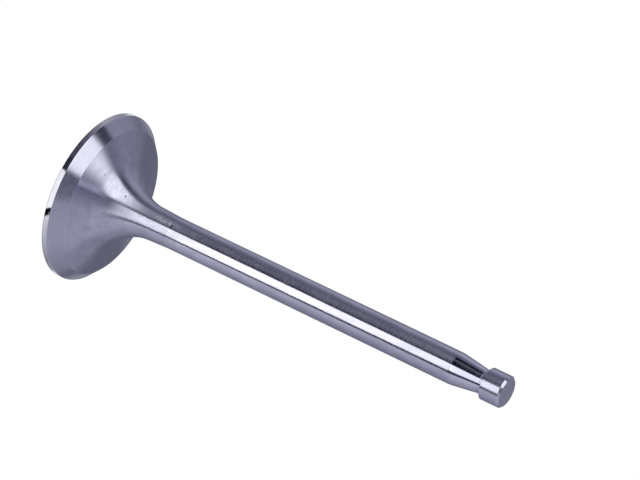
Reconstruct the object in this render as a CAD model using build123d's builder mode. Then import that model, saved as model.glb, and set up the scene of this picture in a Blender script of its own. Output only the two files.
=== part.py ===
from build123d import *
import os
from math import radians, tan

# Intake poppet valve of a small overhead-valve engine, forged and ground as one piece.
# It stands on its head: the origin is the centre of the flat combustion face, and +Z
# runs up the stem to the tip. All sizes are in millimetres.

# Head
head_diameter = 35.15
face_edge_radius = 0.2
margin_height = 1.25  # cylindrical rim between the combustion face and the seat
seat_width = 2.25  # radial width of the ground seat
seat_angle = 45  # measured from the plane of the head
back_angle = 20  # slope of the head's back, measured the same way
underhead_radius = 10.3  # blends the back into the throat
throat_top = 19.5  # level where the throat ends and the ground stem begins
throat_angle = 2.6  # how much each side of the throat leans in towards the stem

# Stem
stem_diameter = 6.58  # runs in a 6.6 mm guide
overall_length = 96.7

# Keeper groove and tip
tip_diameter = 6.5
tip_length = 4.4  # the button above the keeper groove
tip_chamfer = 0.4
shoulder_chamfer = 0.15
groove_diameter = 4.9
groove_land = 0.9  # straight bottom of the groove, under the shoulder
groove_root_radius = 0.3
taper_length = 5.9  # cone from the full stem down to the groove
taper_start_radius = 8.0
taper_end_radius = 3.0

head_radius = head_diameter / 2
stem_radius = stem_diameter / 2
tip_radius = tip_diameter / 2
groove_radius = groove_diameter / 2

seat_inner_radius = head_radius - seat_width
seat_top = margin_height + seat_width * tan(radians(seat_angle))

# The back and the throat are cones, with their sharp corner at this radius and level
back_slope = tan(radians(back_angle))
throat_slope = tan(radians(throat_angle))
back_run = seat_inner_radius - stem_radius - throat_top * throat_slope
throat_base = (seat_top + back_run * back_slope) / (1 - throat_slope * back_slope)
throat_radius = stem_radius + (throat_top - throat_base) * throat_slope

shoulder_level = overall_length - tip_length
taper_end = shoulder_level - groove_land
taper_start = taper_end - taper_length

os.makedirs("parts", exist_ok=True)


# The turned edge of the given radius at the given height
def ring(body, radius, level):
    circles = body.edges().filter_by(GeomType.CIRCLE)
    at_level = circles.filter_by_position(Axis.Z, level - 0.001, level + 0.001)
    return at_level.filter_by(lambda edge: abs(edge.radius - radius) < 0.001)


with BuildPart() as valve:
    # Half of the section with every corner still sharp, turned about the stem's axis
    with BuildSketch(Plane.XZ):
        with BuildLine():
            Polyline(
                (0, 0),
                (head_radius, 0),
                (head_radius, margin_height),
                (seat_inner_radius, seat_top),
                (throat_radius, throat_base),
                (stem_radius, throat_top),
                (stem_radius, taper_start),
                (groove_radius, taper_end),
                (groove_radius, shoulder_level),
                (tip_radius, shoulder_level),
                (tip_radius, overall_length),
                (0, overall_length),
                close=True,
            )
        make_face()
    revolve(axis=Axis.Z)

    # The large fillet that carries the gas flow and the load from the head into the throat
    fillet(ring(valve, throat_radius, throat_base), radius=underhead_radius)

    # The keeper groove: a cone softened at both ends, and a square shoulder over it
    fillet(ring(valve, stem_radius, taper_start), radius=taper_start_radius)
    fillet(ring(valve, groove_radius, taper_end), radius=taper_end_radius)
    fillet(ring(valve, groove_radius, shoulder_level), radius=groove_root_radius)
    chamfer(ring(valve, tip_radius, shoulder_level), length=shoulder_chamfer)

    # Broken edges: the tip, which the rocker presses on, and the combustion face
    chamfer(ring(valve, tip_radius, overall_length), length=tip_chamfer)
    fillet(ring(valve, head_radius, 0), radius=face_edge_radius)

valve.part.label = "intake_valve"
export_step(valve.part, "parts/intake_valve.step")
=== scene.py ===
# A small engine's intake valve, standing on its head, with its turned, ground and polished finishes.
from math import ceil, pi, radians, tan

import bpy
import numpy as np
from mathutils import Matrix, Vector


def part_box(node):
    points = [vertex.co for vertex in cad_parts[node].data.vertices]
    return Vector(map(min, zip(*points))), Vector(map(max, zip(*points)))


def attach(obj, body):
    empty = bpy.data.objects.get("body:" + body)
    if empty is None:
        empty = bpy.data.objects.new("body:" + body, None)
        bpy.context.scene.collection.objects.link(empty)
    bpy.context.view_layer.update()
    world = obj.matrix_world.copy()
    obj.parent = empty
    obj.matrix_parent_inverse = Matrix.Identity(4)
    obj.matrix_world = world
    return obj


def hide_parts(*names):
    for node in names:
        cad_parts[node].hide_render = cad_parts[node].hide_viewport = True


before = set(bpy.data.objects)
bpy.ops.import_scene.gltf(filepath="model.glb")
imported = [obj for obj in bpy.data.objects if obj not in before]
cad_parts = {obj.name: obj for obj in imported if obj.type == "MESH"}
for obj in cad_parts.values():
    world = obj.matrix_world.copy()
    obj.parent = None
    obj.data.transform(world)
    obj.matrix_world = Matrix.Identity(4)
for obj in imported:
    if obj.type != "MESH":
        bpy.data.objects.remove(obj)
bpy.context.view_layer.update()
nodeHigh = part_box("intake_valve")[1]
mm = 0.001  # shapes and patterns below are given in millimetres
headRadius, overallLength = nodeHigh[0] / mm, nodeHigh[2] / mm
print("frame loaded")


# Node tree helpers

def addNode(tree, kind, **settings):
    node = tree.nodes.new(kind)
    for key, value in settings.items():
        setattr(node, key, value)
    return node


def feed(tree, source, target):
    # A socket is linked, and a number or a colour is written on the target
    if isinstance(source, bpy.types.NodeSocket):
        tree.links.new(source, target)
    else:
        target.default_value = source


def calc(tree, operation, first, second=0.0, third=0.0, clamp=False):
    node = addNode(tree, "ShaderNodeMath", operation=operation, use_clamp=clamp)
    for place, value in enumerate((first, second, third)):
        feed(tree, value, node.inputs[place])
    return node.outputs[0]


def scaleVector(tree, vector, x, y, z):
    factors = addNode(tree, "ShaderNodeCombineXYZ")
    for place, value in enumerate((x, y, z)):
        feed(tree, value, factors.inputs[place])
    node = addNode(tree, "ShaderNodeVectorMath", operation="MULTIPLY")
    feed(tree, vector, node.inputs[0])
    feed(tree, factors.outputs[0], node.inputs[1])
    return node.outputs[0]


def splitVector(tree, vector):
    node = addNode(tree, "ShaderNodeSeparateXYZ")
    feed(tree, vector, node.inputs[0])
    return node.outputs


def noise(tree, vector, scale, detail=2.0, roughness=0.5):
    node = addNode(tree, "ShaderNodeTexNoise", noise_dimensions="3D")
    feed(tree, vector, node.inputs["Vector"])
    feed(tree, scale, node.inputs["Scale"])
    node.inputs["Detail"].default_value = detail
    node.inputs["Roughness"].default_value = roughness
    return node.outputs["Fac"]


def remap(tree, value, low, high, newLow=0.0, newHigh=1.0):
    node = addNode(tree, "ShaderNodeMapRange", interpolation_type="SMOOTHSTEP", clamp=True)
    for place, number in enumerate((value, low, high, newLow, newHigh)):
        feed(tree, number, node.inputs[place])
    return node.outputs[0]


def mixColour(tree, amount, first, second):
    node = addNode(tree, "ShaderNodeMix", data_type="RGBA", blend_type="MIX")
    # Sockets 6, 7 and 2 are the ones for colours
    feed(tree, amount, node.inputs[0])
    feed(tree, first, node.inputs[6])
    feed(tree, second, node.inputs[7])
    return node.outputs[2]


def newGroup(name, inputs, outputs):
    tree = bpy.data.node_groups.new(name, "ShaderNodeTree")
    for label, kind, value in inputs:
        socket = tree.interface.new_socket(name=label, in_out="INPUT", socket_type=kind)
        if value is not None:
            socket.default_value = value
    for label in outputs:
        tree.interface.new_socket(name=label, in_out="OUTPUT", socket_type="NodeSocketFloat")
    return tree, addNode(tree, "NodeGroupInput").outputs, addNode(tree, "NodeGroupOutput").inputs


def placeGroup(tree, group, **values):
    node = addNode(tree, "ShaderNodeGroup", node_tree=group)
    for label, value in values.items():
        feed(tree, value, node.inputs[label])
    return node.outputs


# The valve's shape

valveShape = {
    "turns": 288,  # facets round the axis
    "straightStep": 1.2,  # longest facet along a straight run
    "arcStep": 2.5,  # degrees that one facet of an arc turns
    "fewestFacets": (2, 3),  # along a straight run, and round an arc
    "samePoint": 1e-9,  # points closer than this are one
    "brokenEdge": 0.05,  # what deburring leaves on an edge that is drawn sharp
    "faceEdge": 0.2,
    "marginHeight": 1.25,
    "seatWidth": 2.25,
    "seatAngle": 45.0,
    "backAngle": 20.0,
    "underheadRadius": 10.3,
    "throatTop": 19.5,  # level where the turned throat ends and the ground stem begins
    "throatAngle": 2.6,
    "throatBlend": 4.0,
    "stemDiameter": 6.58,
    "tipDiameter": 6.5,
    "tipLength": 4.4,
    "tipChamfer": 0.4,
    "shoulderChamfer": 0.15,
    "grooveDiameter": 4.9,
    "grooveLand": 0.9,
    "grooveRoot": 0.3,
    "taperLength": 5.9,
    "taperStartRadius": 8.0,
    "taperEndRadius": 3.0,
    "edgeReach": 0.06,  # how far each way an edge is looked for along the profile
    "edgeTurn": 30.0,  # what turns less than this, in degrees, isn't an edge
}


def valveCorners():
    # The half section's corners: radius, height, rounding, and the finish of what follows
    s = valveShape
    stemRadius, tipRadius = s["stemDiameter"] / 2, s["tipDiameter"] / 2
    grooveRadius = s["grooveDiameter"] / 2
    seatInner = headRadius - s["seatWidth"]
    seatTop = s["marginHeight"] + s["seatWidth"] * tan(radians(s["seatAngle"]))
    # Where the cones of the back and the throat would meet in a sharp corner
    backSlope, throatSlope = tan(radians(s["backAngle"])), tan(radians(s["throatAngle"]))
    backRun = seatInner - stemRadius - s["throatTop"] * throatSlope
    throatBase = (seatTop + backRun * backSlope) / (1 - throatSlope * backSlope)
    throatRadius = stemRadius + (s["throatTop"] - throatBase) * throatSlope
    shoulder = overallLength - s["tipLength"]
    taperEnd = shoulder - s["grooveLand"]
    taperStart = taperEnd - s["taperLength"]
    edge = s["brokenEdge"]
    return [
        (0, 0, 0, "combustionFace"),
        (headRadius, 0, s["faceEdge"], "polishedMargin"),
        (headRadius, s["marginHeight"], edge, "groundSeat"),
        (seatInner, seatTop, edge, "turnedBack"),
        (throatRadius, throatBase, s["underheadRadius"], "turnedBack"),
        (stemRadius, s["throatTop"], s["throatBlend"], "groundStem"),
        (stemRadius, taperStart, s["taperStartRadius"], "keeperGroove"),
        (grooveRadius, taperEnd, s["taperEndRadius"], "keeperGroove"),
        (grooveRadius, shoulder, s["grooveRoot"], "keeperGroove"),
        (tipRadius - s["shoulderChamfer"], shoulder, edge, "groundTip"),
        (tipRadius, shoulder + s["shoulderChamfer"], edge, "groundTip"),
        (tipRadius, overallLength - s["tipChamfer"], edge, "groundTip"),
        (tipRadius - s["tipChamfer"], overallLength, edge, "tipEnd"),
        (0, overallLength, 0, "tipEnd"),
    ]


def roundedProfile(corners):
    # Straight runs joined by arcs that touch both: an arc starts radius * tan(half its turn)
    # before the corner, and its heading turns evenly from one run's to the next one's.
    points = np.array([corner[:2] for corner in corners], float)
    runs = np.diff(points, axis=0)
    headings = np.unwrap(np.arctan2(runs[:, 1], runs[:, 0]))
    roundings = np.array([corner[2] for corner in corners], float)
    trims = np.zeros(len(corners))
    trims[1:-1] = roundings[1:-1] * np.tan(np.abs(np.diff(headings)) / 2)
    fewestAlong, fewestRound = valveShape["fewestFacets"]
    rows, angles, finishNames = [], [], []
    for place, heading in enumerate(headings):
        along = np.array([np.cos(heading), np.sin(heading)])
        start = points[place] + along * trims[place]
        end = points[place + 1] - along * trims[place + 1]
        steps = max(fewestAlong, ceil(np.linalg.norm(end - start) / valveShape["straightStep"]))
        rows.append(start + (end - start) * np.linspace(0, 1, steps + 1)[:, None])
        angles.append(np.full(steps + 1, heading))
        finishNames += [corners[place][3]] * (steps + 1)
        if trims[place + 1] > 0:
            turn = headings[place + 1] - heading
            steps = max(fewestRound, ceil(abs(turn) / radians(valveShape["arcStep"])))
            swept = heading + turn * np.linspace(0, 1, steps + 1)[1:-1]
            side = np.sign(turn) * roundings[place + 1]
            hub = end + side * np.array([-np.sin(heading), np.cos(heading)])
            rows.append(hub + side * np.stack([np.sin(swept), -np.cos(swept)], axis=1))
            angles.append(swept)
            finishNames += [corners[place + 1][3]] * len(swept)
    rows, angles = np.concatenate(rows), np.concatenate(angles)
    gaps = np.linalg.norm(np.diff(rows, axis=0), axis=1)
    apart = np.append(gaps > valveShape["samePoint"], True)
    return rows[apart], angles[apart], [name for name, kept in zip(finishNames, apart) if kept]


def turnedMesh(name, rows, headings, rowFinishes, finishOrder):
    # A profile point (r, z) goes round the axis as (r cos a, r sin a, z). Its normal is the profile's
    # heading turned a quarter to the right, carried round the same way. Both ends meet the axis.
    turns = valveShape["turns"]
    angle = np.arange(turns) * 2 * pi / turns
    circle = np.stack([np.cos(angle), np.sin(angle), np.ones(turns)], axis=1)

    def carryRound(radial, axial):
        flat = np.stack([radial, radial, axial], axis=1)[:, None, :]
        return (flat * circle).reshape(-1, 3)

    def withPoles(first, rings, last):
        return np.concatenate([[first], rings, [last]])

    steps = np.linalg.norm(np.diff(rows, axis=0), axis=1)
    arc = np.concatenate([[0.0], np.cumsum(steps)])
    inner = slice(1, -1)
    r, z, s = rows[inner, 0], rows[inner, 1], arc[inner]
    places = withPoles([0, 0, rows[0, 1]], carryRound(r, z), [0, 0, rows[-1, 1]]) * mm
    normals = withPoles([0, 0, -1], carryRound(np.sin(headings[inner]), -np.cos(headings[inner])), [0, 0, 1])
    lathe = withPoles([0, 0, 0], carryRound(np.ones_like(s), s), [0, 0, arc[-1]])

    ringCount = len(r)
    row, column = np.meshgrid(np.arange(ringCount - 1), np.arange(turns), indexing="ij")
    row, column = row.ravel(), column.ravel()
    beside = (column + 1) % turns
    lower, upper = 1 + row * turns, 1 + (row + 1) * turns
    quads = np.stack([lower + column, lower + beside, upper + beside, upper + column], axis=1)
    column, beside = np.arange(turns), (np.arange(turns) + 1) % turns
    lastRing, lastPole = 1 + (ringCount - 1) * turns, 1 + ringCount * turns
    bottomFan = np.stack([np.zeros(turns, int), 1 + beside, 1 + column], axis=1)
    topFan = np.stack([np.full(turns, lastPole), lastRing + column, lastRing + beside], axis=1)

    mesh = bpy.data.meshes.new(name)
    mesh.from_pydata(places.tolist(), [], bottomFan.tolist() + quads.tolist() + topFan.tolist())
    order = np.array([finishOrder.index(finish) for finish in rowFinishes])
    faceFinish = np.concatenate([np.full(turns, order[0]), order[1:-2][row], np.full(turns, order[-1])])
    mesh.polygons.foreach_set("material_index", faceFinish.astype(np.int32))
    mesh.normals_split_custom_set_from_vertices(normals.tolist())

    # Where a pattern lies: the direction round the axis, and millimetres along the profile
    latheCoord = mesh.attributes.new("latheCoord", "FLOAT_VECTOR", "POINT")
    latheCoord.data.foreach_set("vector", lathe.ravel())
    # How far, in millimetres, the nearest sharp outer edge is
    reach = valveShape["edgeReach"]
    turn = np.interp(arc + reach, arc, headings) - np.interp(arc - reach, arc, headings)
    sharpRows = arc[turn > radians(valveShape["edgeTurn"])]
    gap = np.abs(arc[:, None] - sharpRows[None, :]).min(axis=1)
    gap = np.concatenate([gap[:1], np.repeat(gap[inner], turns), gap[-1:]])
    mesh.attributes.new("edgeGap", "FLOAT", "POINT").data.foreach_set("value", gap)
    mesh.update()
    mesh.validate()
    return mesh


# Shared surface effects

effectLook = {
    "fineHeight": 0.7,  # how much of a lathe line's height is its fine ridges
    "wideHeight": 0.6,
    "widePerFine": 0.17,  # wide ridges for each fine one
    "lineTones": (0.75, 1.25),  # where the sum of both noises turns from bright to dull
    "filmEdge": (0.35, 0.68),
    "strokeEdge": 0.05,
    "dotCore": 0.5,  # the part of a pinhole or a nick that is full
    "rubPatches": 1.6,  # per millimetre
}


def latheLinesGroup():
    # Fine ridges that run round the axis: noise stretched along the turning direction
    tree, given, result = newGroup(
        "latheLines",
        [
            ("Lathe", "NodeSocketVector", None),
            ("Spacing", "NodeSocketFloat", 0.3),
            ("Drift", "NodeSocketFloat", 0.6),
        ],
        ["Height", "Tone"],
    )
    drift = given["Drift"]

    def ridges(perSpacing, detail, roughness):
        across = calc(tree, "DIVIDE", perSpacing, given["Spacing"])
        stretched = scaleVector(tree, given["Lathe"], drift, drift, across)
        return noise(tree, stretched, 1.0, detail, roughness)

    fine = ridges(1.0, detail=3.0, roughness=0.65)
    wide = ridges(effectLook["widePerFine"], detail=2.0, roughness=0.6)
    wideHeight = calc(tree, "MULTIPLY", wide, effectLook["wideHeight"])
    feed(tree, calc(tree, "MULTIPLY_ADD", fine, effectLook["fineHeight"], wideHeight), result["Height"])
    feed(tree, remap(tree, calc(tree, "ADD", fine, wide), *effectLook["lineTones"]), result["Tone"])
    return tree


def oilFilmGroup():
    # Cloudy patches that handling leaves, drawn out along the stem
    tree, given, result = newGroup(
        "oilFilm",
        [
            ("Place", "NodeSocketVector", None),
            ("Size", "NodeSocketFloat", 4.0),
            ("Stretch", "NodeSocketFloat", 0.4),
        ],
        ["Film"],
    )
    stretched = scaleVector(tree, given["Place"], 1.0, 1.0, given["Stretch"])
    clouds = noise(tree, stretched, calc(tree, "DIVIDE", 1.0, given["Size"]), detail=4.0, roughness=0.6)
    feed(tree, remap(tree, clouds, *effectLook["filmEdge"]), result["Film"])
    return tree


def strokesGroup():
    # Separate short scratches: only the crests of a noise that is long one way and thin the other
    tree, given, result = newGroup(
        "scratchStrokes",
        [
            ("Lathe", "NodeSocketVector", None),
            ("Around", "NodeSocketFloat", 2.0),
            ("Along", "NodeSocketFloat", 8.0),
            ("Rarity", "NodeSocketFloat", 0.66),
        ],
        ["Stroke"],
    )
    stretched = scaleVector(tree, given["Lathe"], given["Around"], given["Around"], given["Along"])
    crests = noise(tree, stretched, 1.0, detail=2.0, roughness=0.7)
    full = calc(tree, "ADD", given["Rarity"], effectLook["strokeEdge"])
    feed(tree, remap(tree, crests, given["Rarity"], full), result["Stroke"])
    return tree


def specksGroup():
    # Pinholes: a dot round a few of the points of a cell pattern
    tree, given, result = newGroup(
        "pinSpecks",
        [
            ("Place", "NodeSocketVector", None),
            ("Cell", "NodeSocketFloat", 2.5),
            ("Dot", "NodeSocketFloat", 0.05),
            ("Share", "NodeSocketFloat", 0.1),
        ],
        ["Speck"],
    )
    cells = addNode(tree, "ShaderNodeTexVoronoi", voronoi_dimensions="3D", feature="F1")
    feed(tree, given["Place"], cells.inputs["Vector"])
    feed(tree, calc(tree, "DIVIDE", 1.0, given["Cell"]), cells.inputs["Scale"])
    core = calc(tree, "MULTIPLY", given["Dot"], effectLook["dotCore"])
    near = remap(tree, cells.outputs["Distance"], given["Dot"], core)
    cellColour = addNode(tree, "ShaderNodeSeparateColor")
    feed(tree, cells.outputs["Color"], cellColour.inputs[0])
    chosen = calc(tree, "LESS_THAN", cellColour.outputs[0], given["Share"])
    feed(tree, calc(tree, "MULTIPLY", near, chosen), result["Speck"])
    return tree


def edgeRubGroup():
    # Sharp edges are rubbed bright, in an uneven narrow line
    tree, given, result = newGroup(
        "edgeRub",
        [
            ("Gap", "NodeSocketFloat", 1.0),
            ("Place", "NodeSocketVector", None),
            ("Width", "NodeSocketFloat", 0.12),
        ],
        ["Rub"],
    )
    patches = noise(tree, given["Place"], effectLook["rubPatches"], detail=3.0, roughness=0.6)
    uneven = calc(tree, "MULTIPLY", patches, given["Width"])
    feed(tree, remap(tree, calc(tree, "SUBTRACT", given["Gap"], uneven), given["Width"], 0.0), result["Rub"])
    return tree


def nickGroup():
    # One small mark, full at its core and gone at its reach, in degrees around and millimetres up
    tree, given, result = newGroup(
        "smallNick",
        [
            ("Spot", "NodeSocketVector", None),
            ("Middle", "NodeSocketVector", None),
            ("Around", "NodeSocketFloat", 3.0),
            ("Up", "NodeSocketFloat", 0.3),
        ],
        ["Nick"],
    )
    offset = addNode(tree, "ShaderNodeVectorMath", operation="SUBTRACT")
    feed(tree, given["Spot"], offset.inputs[0])
    feed(tree, given["Middle"], offset.inputs[1])
    around = calc(tree, "DIVIDE", 180 / pi, given["Around"])
    scaled = scaleVector(tree, offset.outputs[0], around, around, calc(tree, "DIVIDE", 1.0, given["Up"]))
    reach = addNode(tree, "ShaderNodeVectorMath", operation="LENGTH")
    feed(tree, scaled, reach.inputs[0])
    feed(tree, remap(tree, reach.outputs["Value"], 1.0, effectLook["dotCore"]), result["Nick"])
    return tree


effects = {
    "lathe": latheLinesGroup(),
    "film": oilFilmGroup(),
    "strokes": strokesGroup(),
    "specks": specksGroup(),
    "rub": edgeRubGroup(),
    "nick": nickGroup(),
}

# The finishes

steel = {
    "bright": (0.40, 0.40, 0.54, 1.0),
    "dull": (0.33, 0.33, 0.45, 1.0),
    "pit": (0.05, 0.05, 0.07, 1.0),
    # worn, brighter metal; on the burrs this lighter colour is also a painted glint
    "rubbedAndGlint": (0.60, 0.60, 0.70, 1.0),
    "ground": (0.34, 0.34, 0.46, 1.0),
    "polished": (0.52, 0.52, 0.60, 1.0),
}

# What a mark adds to the roughness, and to the height in units of its finish's depth
markLook = {
    "burrRoughness": 0.3,
    "rubRoughness": -0.08,
    "strokeHeight": -0.5,
    "speckHeight": -3.0,
}

finishes = {
    "combustionFace": {
        "uneven": 0.05, "colour": "bright", "rub": 0.35,
        "roughness": 0.34, "anisotropy": 0.75, "spacing": 0.22, "drift": 0.5, "depth": 0.0016, "tone": 0.5,
        "film": 0.35, "filmSize": 6.0, "strokes": 0.3, "around": 1.2, "along": 9.0, "rarity": 0.64,
    },
    "polishedMargin": {
        "uneven": 0.03, "colour": "polished", "rub": 0.2,
        "roughness": 0.11, "anisotropy": 0.4, "spacing": 0.2, "drift": 2.0, "depth": 0.0002, "tone": 0.2,
        "film": 0.15, "filmSize": 3.0, "strokes": 0.3, "around": 6.0, "along": 3.0, "rarity": 0.66,
    },
    "groundSeat": {
        "uneven": 0.04, "colour": "ground", "rub": 0.2,
        "roughness": 0.16, "anisotropy": 0.75, "spacing": 0.28, "drift": 7.0, "depth": 0.001, "tone": 0.65,
        "film": 0.3, "filmSize": 4.0, "strokes": 0.2, "around": 2.0, "along": 8.0, "rarity": 0.66,
    },
    "turnedBack": {
        # Marks are (degrees from the front, height, degrees around, millimetres up)
        "pits": ((-25.0, 8.68, 2.4, 0.17), (-24.5, 5.1, 0.7, 0.09)),
        # Burrs are rough marks, and their lighter colour is a painted glint: short bright ticks of reflected
        # light put at these spots
        "burrsAndGlints": (
            (-24.0, 16.6, 7.0, 0.12), (-19.0, 17.1, 8.0, 0.14), (-21.5, 17.85, 7.0, 0.16),
            (-21.5, 15.85, 5.0, 0.1), (-22.5, 19.05, 6.0, 0.2),
        ),
        "neckRoughness": 0.09, "neckLevels": (6.0, 10.0),  # the tool's marks are coarser towards the stem
        "uneven": 0.04, "colour": "bright", "rub": 0.2,
        "roughness": 0.18, "anisotropy": 1.0, "spacing": 0.36, "drift": 5.0, "depth": 0.0014, "tone": 0.75,
        "film": 0.25, "filmSize": 5.0, "strokes": 0.1, "around": 1.5, "along": 7.0, "rarity": 0.68,
    },
    "groundStem": {
        "pits": ((-17.5, 19.66, 5.5, 0.25), (-12.0, 19.58, 4.5, 0.18)),
        "uneven": 0.04, "colour": "bright", "rub": 0.35,
        "roughness": 0.19, "anisotropy": 1.0, "spacing": 0.16, "drift": 1.2, "depth": 0.0001, "tone": 0.1,
        "film": 0.65, "filmSize": 2.4, "strokes": 0.4, "around": 8.0, "along": 0.3, "rarity": 0.6,
    },
    "keeperGroove": {
        "uneven": 0.02, "colour": "bright", "rub": 0.35,
        "roughness": 0.09, "anisotropy": 0.5, "spacing": 0.2, "drift": 1.0, "depth": 0.0003, "tone": 0.2,
        "film": 0.2, "filmSize": 2.0, "strokes": 0.2, "around": 4.0, "along": 3.0, "rarity": 0.66,
    },
    "groundTip": {
        "uneven": 0.05, "colour": "bright", "rub": 0.12,
        "roughness": 0.2, "anisotropy": 0.85, "spacing": 0.14, "drift": 1.0, "depth": 0.0004, "tone": 0.3,
        "film": 0.35, "filmSize": 2.0, "strokes": 0.2, "around": 3.0, "along": 6.0, "rarity": 0.66,
    },
    "tipEnd": {
        "uneven": 0.06, "colour": "dull", "rub": 0.12,
        "roughness": 0.34, "anisotropy": 0.3, "spacing": 0.2, "drift": 3.0, "depth": 0.0005, "tone": 0.3,
        "film": 0.4, "filmSize": 1.5, "strokes": 0.3, "around": 3.0, "along": 4.0, "rarity": 0.64,
    },
}


def addNicks(tree, spot, marks):
    # All of a finish's small marks of one kind, as one mask
    mask = 0.0
    for azimuth, height, around, up in marks:
        middle = (np.sin(radians(azimuth)), -np.cos(radians(azimuth)), height)
        nick = placeGroup(tree, effects["nick"], Spot=spot, Middle=middle, Around=around, Up=up)["Nick"]
        mask = calc(tree, "MAXIMUM", mask, nick)
    return mask


def makeFinish(name, look):
    material = bpy.data.materials.new(name)
    material.use_nodes = True
    tree = material.node_tree
    shader = tree.nodes["Principled BSDF"]
    lathe = addNode(tree, "ShaderNodeAttribute", attribute_name="latheCoord").outputs["Vector"]
    gap = addNode(tree, "ShaderNodeAttribute", attribute_name="edgeGap").outputs["Fac"]
    metres = addNode(tree, "ShaderNodeTexCoord").outputs["Object"]
    place = scaleVector(tree, metres, 1 / mm, 1 / mm, 1 / mm)

    lines = placeGroup(tree, effects["lathe"], Lathe=lathe, Spacing=look["spacing"], Drift=look["drift"])
    film = placeGroup(tree, effects["film"], Place=place, Size=look["filmSize"])["Film"]
    stroke = placeGroup(tree, effects["strokes"], Lathe=lathe, Around=look["around"], Along=look["along"],
                        Rarity=look["rarity"])["Stroke"]
    speck = placeGroup(tree, effects["specks"], Place=place)["Speck"]
    rub = placeGroup(tree, effects["rub"], Gap=gap, Place=place)["Rub"]

    # A mark's spot: the direction round the axis, and the height
    direction, position = splitVector(tree, lathe), splitVector(tree, place)
    spot = addNode(tree, "ShaderNodeCombineXYZ")
    feed(tree, direction["X"], spot.inputs["X"])
    feed(tree, direction["Y"], spot.inputs["Y"])
    feed(tree, position["Z"], spot.inputs["Z"])
    pits = addNicks(tree, spot.outputs[0], look.get("pits", ()))
    burrsAndGlints = addNicks(tree, spot.outputs[0], look.get("burrsAndGlints", ()))

    filmDulling = calc(tree, "MULTIPLY", film, look["film"])
    dulling = calc(tree, "MULTIPLY_ADD", lines["Tone"], look["tone"], filmDulling, clamp=True)
    colour = mixColour(tree, dulling, steel[look["colour"]], steel["dull"])
    colour = mixColour(tree, calc(tree, "MULTIPLY", stroke, look["strokes"]), colour, steel["rubbedAndGlint"])
    colour = mixColour(tree, calc(tree, "MULTIPLY", rub, look["rub"]), colour, steel["rubbedAndGlint"])
    # the burrs' lighter colour is a painted glint; the roughness they add below is real
    colour = mixColour(tree, burrsAndGlints, colour, steel["rubbedAndGlint"])
    colour = mixColour(tree, calc(tree, "MAXIMUM", speck, pits), colour, steel["pit"])
    feed(tree, colour, shader.inputs["Base Color"])

    spread = calc(tree, "MULTIPLY_ADD", film, look["uneven"], look["roughness"])
    spread = calc(tree, "MULTIPLY_ADD", lines["Tone"], look["uneven"], spread)
    if "neckRoughness" in look:
        neck = remap(tree, position["Z"], *look["neckLevels"])
        spread = calc(tree, "MULTIPLY_ADD", neck, look["neckRoughness"], spread)
    spread = calc(tree, "MULTIPLY_ADD", burrsAndGlints, markLook["burrRoughness"], spread)
    spread = calc(tree, "MULTIPLY_ADD", rub, markLook["rubRoughness"], spread, clamp=True)
    feed(tree, spread, shader.inputs["Roughness"])

    height = calc(tree, "MULTIPLY_ADD", stroke, markLook["strokeHeight"], lines["Height"])
    height = calc(tree, "MULTIPLY_ADD", speck, markLook["speckHeight"], height)
    bump = addNode(tree, "ShaderNodeBump")
    bump.inputs["Strength"].default_value = 1.0
    bump.inputs["Distance"].default_value = look["depth"] * mm
    feed(tree, height, bump.inputs["Height"])
    feed(tree, bump.outputs["Normal"], shader.inputs["Normal"])

    shader.inputs["Metallic"].default_value = 1.0
    shader.inputs["Anisotropic"].default_value = look["anisotropy"]
    # The marks run round the axis, so light spreads along it, a quarter turn from the tangent
    shader.inputs["Anisotropic Rotation"].default_value = 0.25
    tangent = addNode(tree, "ShaderNodeTangent", direction_type="RADIAL", axis="Z")
    feed(tree, tangent.outputs[0], shader.inputs["Tangent"])
    return material


def makeValve():
    rows, headings, rowFinishes = roundedProfile(valveCorners())
    mesh = turnedMesh("intakeValve", rows, headings, rowFinishes, list(finishes))
    for name, look in finishes.items():
        mesh.materials.append(makeFinish(name, look))
    valve = bpy.data.objects.new("intakeValve", mesh)
    bpy.context.scene.collection.objects.link(valve)
    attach(valve, "root")
    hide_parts("intake_valve")


makeValve()
print("valve turned and finished")

# The studio

studio = {
    "floorInner": 17.2,  # the floor stops under the head, so that the combustion face shows from below
    "floorMiddle": 120.0,
    "floorOuter": 3000.0,
    "floorTurns": 96,
    "floorLevel": -0.02,
    "floorWhite": 0.8,
    "floorGlow": 0.35,  # what a view from below sees on top of the light that falls on the floor
    "worldLight": 0.8,  # the air's strength as light, while what is seen of it is full white
    "tentRadius": 500.0,
    "tentCentre": 40.0,  # height on the stem from which the tent's panels are laid out
    "tentTurns": 720,
    "ballRings": 240,
    "ballEnd": 89.5,  # degrees up and down from the centre's level
    "sheetRings": 120,
    "tentSheetLevel": 0.03,
    "collarRadius": 20.6,
    "collarSteps": (-0.35, -0.1, -0.08, 0.12, 0.3, 1.2, 3.0),  # past the head's rim
    "collarLevels": (-0.015, -0.012, 0.03, 0.03, 0.03, 0.03, 0.03),
    "greyPower": 1.16,  # dark cloth is a little bluer than white cloth
    "shadeFrom": 94.0,  # degrees from the front, where the collar's far side starts to darken
    "shadeEdge": 8.0,
    "shadeDepth": 0.8,
    "rimShade": 0.3,  # how far outside the rim its shade reaches
    "rimDark": 0.15,  # the share of light that is left at the rim
}

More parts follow.
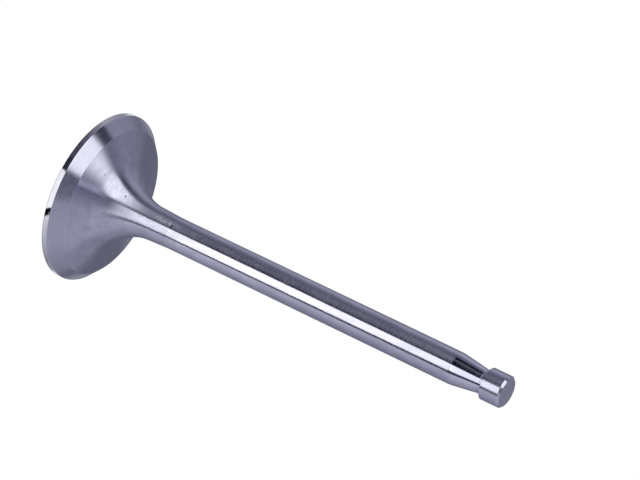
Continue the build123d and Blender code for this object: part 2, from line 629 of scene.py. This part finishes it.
# Cloth panels of the light tent, later ones over earlier ones. Azimuth 0 is towards the camera and 90
# towards +X; elevation is seen from the tent's centre; edge is how softly a panel ends, around and up;
# level shades evenly from the panel's one side to the other; lean moves each side per degree upwards.
tentPanels = {
    "rearFloor": {"azimuth": (148, 212), "elevation": (-44, -20),
        "edge": (26, 3), "level": (0.33, 0.33)},
    "rearNear": {"azimuth": (134, 212), "elevation": (-62, -44),
        "edge": (26, 4), "level": (0.20, 0.20)},
    "rearCollar": {"azimuth": (160, 200), "elevation": (-90, -63),
        "edge": (16, 1), "level": (1.1, 1.1)},
    "rearFar": {"azimuth": (139, 215), "elevation": (-20, 2),
        "edge": (26, 3), "level": (0.26, 0.28)},
    "rearWall": {"azimuth": (146, 210), "elevation": (2, 19),
        "edge": (24, 12), "level": (0.27, 0.28)},
    "rearUpper": {"azimuth": (146, 210), "elevation": (19, 37),
        "edge": (24, 10), "level": (0.64, 0.42)},
    "rearTop": {"azimuth": (140, 195), "elevation": (36, 90),
        "edge": (24, 14), "level": (0.85, 0.20)},
    "rearHigh": {"azimuth": (140, 200), "elevation": (69, 84),
        "edge": (14, 5), "level": (0.70, 0.65)},
    "rightSheet": {"azimuth": (46, 134), "elevation": (-90, -22),
        "edge": (4, 4), "level": (1.20, 0.42)},
    "rightFar": {"azimuth": (46, 134), "elevation": (-22, -8),
        "edge": (4, 4), "level": (0.92, 0.30)},
    "rightWall": {"azimuth": (46, 134), "elevation": (-8, 36),
        "edge": (4, 14), "level": (1.10, 0.56)},
    "rightTop": {"azimuth": (32, 140), "elevation": (36, 74),
        "edge": (24, 14), "level": (0.70, 0.90)},
    "frontTop": {"azimuth": (-26, 36), "elevation": (52, 82),
        "edge": (16, 10), "level": (0.09, 0.20)},
    "zenith": {"azimuth": (-180, 180), "elevation": (80, 90),
        "edge": (1, 8), "level": (0.42, 0.42)},
    "leftWall": {"azimuth": (-138, -99), "elevation": (-90, 42),
        "edge": (12, 10), "level": (0.55, 0.70)},
    "leftBand": {"azimuth": (-126, -104), "elevation": (-9, 9),
        "edge": (8, 5), "level": (0.80, 0.80)},
    "leftFar": {"azimuth": (-158, -132), "elevation": (-15, 3),
        "edge": (10, 4), "level": (0.38, 0.38)},
    "leftFoot": {"azimuth": (-152, -130), "elevation": (-62, -40),
        "edge": (10, 6), "level": (0.30, 0.30)},
    "leftTop": {"azimuth": (-152, -98), "elevation": (42, 58),
        "edge": (16, 8), "level": (0.50, 0.32)},
    "sideSheet": {"azimuth": (-104, -58), "elevation": (-90, -11),
        "edge": (22, 3), "level": (0.50, 0.15)},
    "sideFlag": {"azimuth": (-95, -64), "elevation": (-11, 14),
        "edge": (12, 8), "level": (0.44, 0.20)},
    "upperFlag": {"azimuth": (-78, -56), "elevation": (14, 54),
        "edge": (8, 8), "level": (0.12, 0.12), "lean": (-0.7, -0.7)},
    "leftSheet": {"azimuth": (-62, -11), "elevation": (-90, -11),
        "edge": (8, 3), "level": (0.17, 0.10)},
    "sheetEdge": {"azimuth": (-34, -11), "elevation": (-90, -11),
        "edge": (6, 3), "level": (0.08, 0.05)},
    "leftNear": {"azimuth": (-72, -18), "elevation": (-50, -43),
        "edge": (8, 3), "level": (0.16, 0.16)},
    "leftNearest": {"azimuth": (-74, -19), "elevation": (-61, -51),
        "edge": (8, 3), "level": (1.1, 1.1)},
    "blackFlag": {"azimuth": (-72, -10), "elevation": (-8, 2),
        "edge": (10, 2), "level": (0.0, 0.0)},
    "slit": {"azimuth": (-52, -40), "elevation": (-8, 2),
        "edge": (3, 2), "level": (0.22, 0.22)},
    "leftGlow": {"azimuth": (-66, -27), "elevation": (2, 34),
        "edge": (12, 2), "level": (1.05, 1.20)},
    "frontGap": {"azimuth": (-25, -12), "elevation": (3, 56),
        "edge": (5, 8), "level": (0.08, 0.08)},
    "thinFlag": {"azimuth": (36, 49), "elevation": (-90, 27),
        "edge": (2.5, 14), "level": (0.0, 0.0)},
    "collarFlag": {"azimuth": (37, 53), "elevation": (-90, -63),
        "edge": (4, 1), "level": (0.0, 0.0)},
    "stripFlag": {"azimuth": (28, 46), "elevation": (-9, 0),
        "edge": (2, 2), "level": (0.12, 0.12)},
    "frontNear": {"azimuth": (-11, 34), "elevation": (-90, -43),
        "edge": (1, 3), "level": (1.6, 1.6), "lean": (0.0, -0.12)},
    "frontSheet": {"azimuth": (-11.5, 36), "elevation": (-43, -15),
        "edge": (1, 2), "level": (3.0, 3.0), "lean": (0.0, -0.1)},
    "frontStrip": {"azimuth": (-11, 33), "elevation": (-16, -8),
        "edge": (1, 2), "level": (1.6, 1.6)},
    "farStrip": {"azimuth": (-9, 29), "elevation": (-8, 0),
        "edge": (1, 2), "level": (2.2, 2.2)},
    "frontScreen": {"azimuth": (-8, 35), "elevation": (0, 38),
        "edge": (2, 20), "level": (2.1, 2.1)},
    "collarGlow": {"azimuth": (-14, 34), "elevation": (-90, -63),
        "edge": (3, 1), "level": (1.6, 1.6)},
}
tentBase = 0.5

# The overhead soft box, a flat panel: its corners are given as sideways and forward distances
# over its height above the tent's centre
overheadBox = {
    "corners": ((-0.22, -0.66), (-0.15, -0.10), (-0.16, 0.45), (-0.70, 1.90), (-2.05, 1.00)),
    "edge": 0.12,
    "level": 2.1,
}


def softStep(distance, edge):
    # 0 to 1 as a smooth step, while distance passes from half an edge below zero to half an edge above
    ramp = np.clip(distance / edge + 0.5, 0, 1)
    return ramp * ramp * (3 - 2 * ramp)


def boxCover(azimuth, elevation):
    # Inside every side of the box, by each side's signed distance
    lowest, highest = 1.0, 89.9  # degrees within which a direction is followed up to the box
    rise = np.tan(np.radians(np.clip(elevation, lowest, highest)))
    sideways, forward = np.sin(np.radians(azimuth)) / rise, np.cos(np.radians(azimuth)) / rise
    corners = np.array(overheadBox["corners"])
    cover = (elevation > lowest).astype(float)
    for start, end in zip(corners, np.roll(corners, -1, axis=0)):
        along = (end - start) / np.linalg.norm(end - start)
        inside = along[0] * (forward - start[1]) - along[1] * (sideways - start[0])
        cover = cover * softStep(inside, overheadBox["edge"])
    return cover


def tentGlow(places, fan):
    # The cloth's brightness by its direction from the tent's centre, with the azimuth multiplied by fan
    azimuth = np.degrees(np.arctan2(places[:, 0], -places[:, 1])) * fan
    above = places[:, 2] - studio["tentCentre"]
    elevation = np.degrees(np.arctan2(above, np.hypot(places[:, 0], places[:, 1])))
    glow = np.full(len(places), tentBase)
    for panel in tentPanels.values():
        (left, right), (bottom, top) = panel["azimuth"], panel["elevation"]
        edgeAround, edgeUp = panel["edge"]
        leanLeft, leanRight = panel.get("lean", (0, 0))
        middle = (left + right) / 2
        around = (azimuth - middle + 180) % 360 - 180 + middle
        cover = softStep(top - elevation, edgeUp) if top < 90 else 1.0
        if bottom > -90:
            cover = cover * softStep(elevation - bottom, edgeUp)
        if right - left < 360:
            cover = cover * softStep(around - left - leanLeft * elevation, edgeAround)
            cover = cover * softStep(right + leanRight * elevation - around, edgeAround)
        shade = np.interp(around, (left, right), panel["level"])
        glow = glow + (shade - glow) * cover
    return glow + (overheadBox["level"] - glow) * boxCover(azimuth, elevation)


def gridMesh(name, places, rowsCount, turns):
    # A grid of rings, each joined to the next one and closed round the axis
    row, column = np.meshgrid(np.arange(rowsCount - 1), np.arange(turns), indexing="ij")
    row, column = row.ravel(), column.ravel()
    beside = (column + 1) % turns
    inner, outer = row * turns, (row + 1) * turns
    faces = np.stack([inner + column, inner + beside, outer + beside, outer + column], axis=1)
    mesh = bpy.data.meshes.new(name)
    mesh.from_pydata((places * mm).tolist(), [], faces.tolist())
    mesh.update()
    return mesh


def ringPlaces(radius, level, turns):
    angle = np.arange(turns) * 2 * pi / turns
    flat = np.stack([np.outer(radius, np.cos(angle)), np.outer(radius, np.sin(angle))], axis=-1)
    height = np.repeat(np.asarray(level, float)[:, None, None], turns, axis=1)
    return np.concatenate([flat, height], axis=-1).reshape(-1, 3)


def glowMaterial():
    material = bpy.data.materials.new("tentCloth")
    material.use_nodes = True
    tree = material.node_tree
    tree.nodes.clear()
    glow = addNode(tree, "ShaderNodeAttribute", attribute_name="glow")
    cloth = addNode(tree, "ShaderNodeEmission")
    feed(tree, glow.outputs["Color"], cloth.inputs["Color"])
    output = addNode(tree, "ShaderNodeOutputMaterial")
    feed(tree, cloth.outputs[0], output.inputs["Surface"])
    material.cycles.emission_sampling = "NONE"
    return material


def collarShade(places):
    # The head's own shade, from its rim outwards and over the collar's far side
    beyond = (np.hypot(places[:, 0], places[:, 1]) - headRadius) / studio["rimShade"]
    fromFront = np.abs(np.degrees(np.arctan2(places[:, 0], -places[:, 1])))
    behind = (fromFront - studio["shadeFrom"]) / studio["shadeEdge"]
    rim = studio["rimDark"] + (1 - studio["rimDark"]) * np.clip(beyond, 0, 1)
    return rim * (1 - studio["shadeDepth"] * np.clip(behind, 0, 1))


def makeTent():
    # A ball of cloth round the valve, a sheet on the floor, and a collar close round the head, where a
    # reflection lands at half the azimuth that it points to. Only mirror-like surfaces see them.
    turns, radius = studio["tentTurns"], studio["tentRadius"]
    slope = np.radians(np.linspace(-studio["ballEnd"], studio["ballEnd"], studio["ballRings"]))
    ball = ringPlaces(radius * np.cos(slope), studio["tentCentre"] + radius * np.sin(slope), turns)
    reach = np.geomspace(studio["collarRadius"], radius, studio["sheetRings"])
    sheet = ringPlaces(reach, np.full(len(reach), studio["tentSheetLevel"]), turns)
    near = np.array(studio["collarSteps"]) + headRadius
    collar = ringPlaces(near, studio["collarLevels"], turns)
    cloth = glowMaterial()
    for name, places, rowsCount, fan in (
        ("tentBall", ball, len(slope), 1),
        ("tentSheet", sheet, len(reach), 1),
        ("tentCollar", collar, len(near), 2),
    ):
        mesh = gridMesh(name, places, rowsCount, turns)
        glow = tentGlow(places, fan)
        glow = glow * collarShade(places) if name == "tentCollar" else glow
        grey = glow ** studio["greyPower"]
        colours = np.stack([grey, grey, glow, np.ones_like(glow)], axis=1)
        glowColour = mesh.attributes.new("glow", "FLOAT_COLOR", "POINT")
        glowColour.data.foreach_set("color", colours.ravel())
        mesh.materials.append(cloth)
        panel = bpy.data.objects.new(name, mesh)
        bpy.context.scene.collection.objects.link(panel)
        panel.visible_camera = False
        panel.visible_diffuse = False
        panel.visible_shadow = False
        panel.visible_transmission = False
        panel.visible_volume_scatter = False


def showRay(tree):
    # 1 for what is seen directly, in a mirror or through glass, and 0 for light that only brightens
    path = addNode(tree, "ShaderNodeLightPath")
    seen = calc(tree, "MAXIMUM", path.outputs["Is Camera Ray"], path.outputs["Is Glossy Ray"])
    return calc(tree, "MAXIMUM", seen, path.outputs["Is Transmission Ray"])


def makeFloor():
    # The rings face down: the paper shows from below, and from above it is clear and the world's
    # white shows instead
    radii = np.array([studio["floorInner"], studio["floorMiddle"], studio["floorOuter"]])
    places = ringPlaces(radii, np.full(len(radii), studio["floorLevel"]), studio["floorTurns"])
    mesh = gridMesh("floor", places, len(radii), studio["floorTurns"])
    material = bpy.data.materials.new("paleFloor")
    material.use_nodes = True
    tree = material.node_tree
    tree.nodes.clear()
    paper = addNode(tree, "ShaderNodeBsdfDiffuse")
    white = studio["floorWhite"]
    paper.inputs["Color"].default_value = (white, white, white, 1.0)
    shine = addNode(tree, "ShaderNodeEmission")
    feed(tree, calc(tree, "MULTIPLY", showRay(tree), studio["floorGlow"]), shine.inputs["Strength"])
    both = addNode(tree, "ShaderNodeAddShader")
    feed(tree, paper.outputs[0], both.inputs[0])
    feed(tree, shine.outputs[0], both.inputs[1])
    clear = addNode(tree, "ShaderNodeBsdfTransparent")
    sides = addNode(tree, "ShaderNodeMixShader")
    back = addNode(tree, "ShaderNodeNewGeometry").outputs["Backfacing"]
    feed(tree, back, sides.inputs[0])
    feed(tree, both.outputs[0], sides.inputs[1])
    feed(tree, clear.outputs[0], sides.inputs[2])
    output = addNode(tree, "ShaderNodeOutputMaterial")
    feed(tree, sides.outputs[0], output.inputs["Surface"])
    mesh.materials.append(material)
    floor = bpy.data.objects.new("floor", mesh)
    bpy.context.scene.collection.objects.link(floor)


def makeWorld():
    world = bpy.data.worlds.new("studioAir")
    bpy.context.scene.world = world
    world.use_nodes = True
    tree = world.node_tree
    background = tree.nodes["Background"]
    background.inputs["Color"].default_value = (1.0, 1.0, 1.0, 1.0)
    light = studio["worldLight"]
    feed(tree, calc(tree, "MULTIPLY_ADD", showRay(tree), 1.0 - light, light), background.inputs["Strength"])


softLamp = {"azimuth": -62.0, "elevation": 50.0, "distance": 450.0, "size": 350.0, "power": 0.6}


def makeLamp():
    # A soft square lamp over the shoulder. The steel doesn't see it and the floor's paper faces away
    # from it, so as the scene stands it lights nothing.
    data = bpy.data.lights.new("softLamp", "AREA")
    data.shape = "SQUARE"
    data.size = softLamp["size"] * mm
    data.energy = softLamp["power"]
    lamp = bpy.data.objects.new("softLamp", data)
    bpy.context.scene.collection.objects.link(lamp)
    azimuth, elevation = radians(softLamp["azimuth"]), radians(softLamp["elevation"])
    level = np.cos(elevation)
    away = Vector((np.sin(azimuth) * level, -np.cos(azimuth) * level, np.sin(elevation)))
    lamp.location = away * softLamp["distance"] * mm
    lamp.rotation_mode = "QUATERNION"
    lamp.rotation_quaternion = away.to_track_quat("Z", "Y")
    lamp.visible_camera = False
    lamp.visible_glossy = False


view = {
    "position": (-10.88, -606.87, 337.64),
    "tilt": 64.516,  # degrees up from looking straight down
    "roll": 115.246,  # degrees
    "lens": 196.875,
    "sensor": 36.0,
    "clip": (0.05, 20.0),  # metres
}


def makeCamera():
    data = bpy.data.cameras.new("studioCamera")
    data.lens = view["lens"]
    data.sensor_width = view["sensor"]
    data.clip_start, data.clip_end = view["clip"]
    camera = bpy.data.objects.new("studioCamera", data)
    bpy.context.scene.collection.objects.link(camera)
    turn = Matrix.Rotation(radians(view["tilt"]), 4, "X") @ Matrix.Rotation(radians(view["roll"]), 4, "Z")
    camera.matrix_world = Matrix.Translation(Vector(view["position"]) * mm) @ turn
    bpy.context.scene.camera = camera


makeTent()
makeFloor()
makeWorld()
makeLamp()
makeCamera()
bpy.context.scene.view_settings.view_transform = "Standard"
print("studio ready")
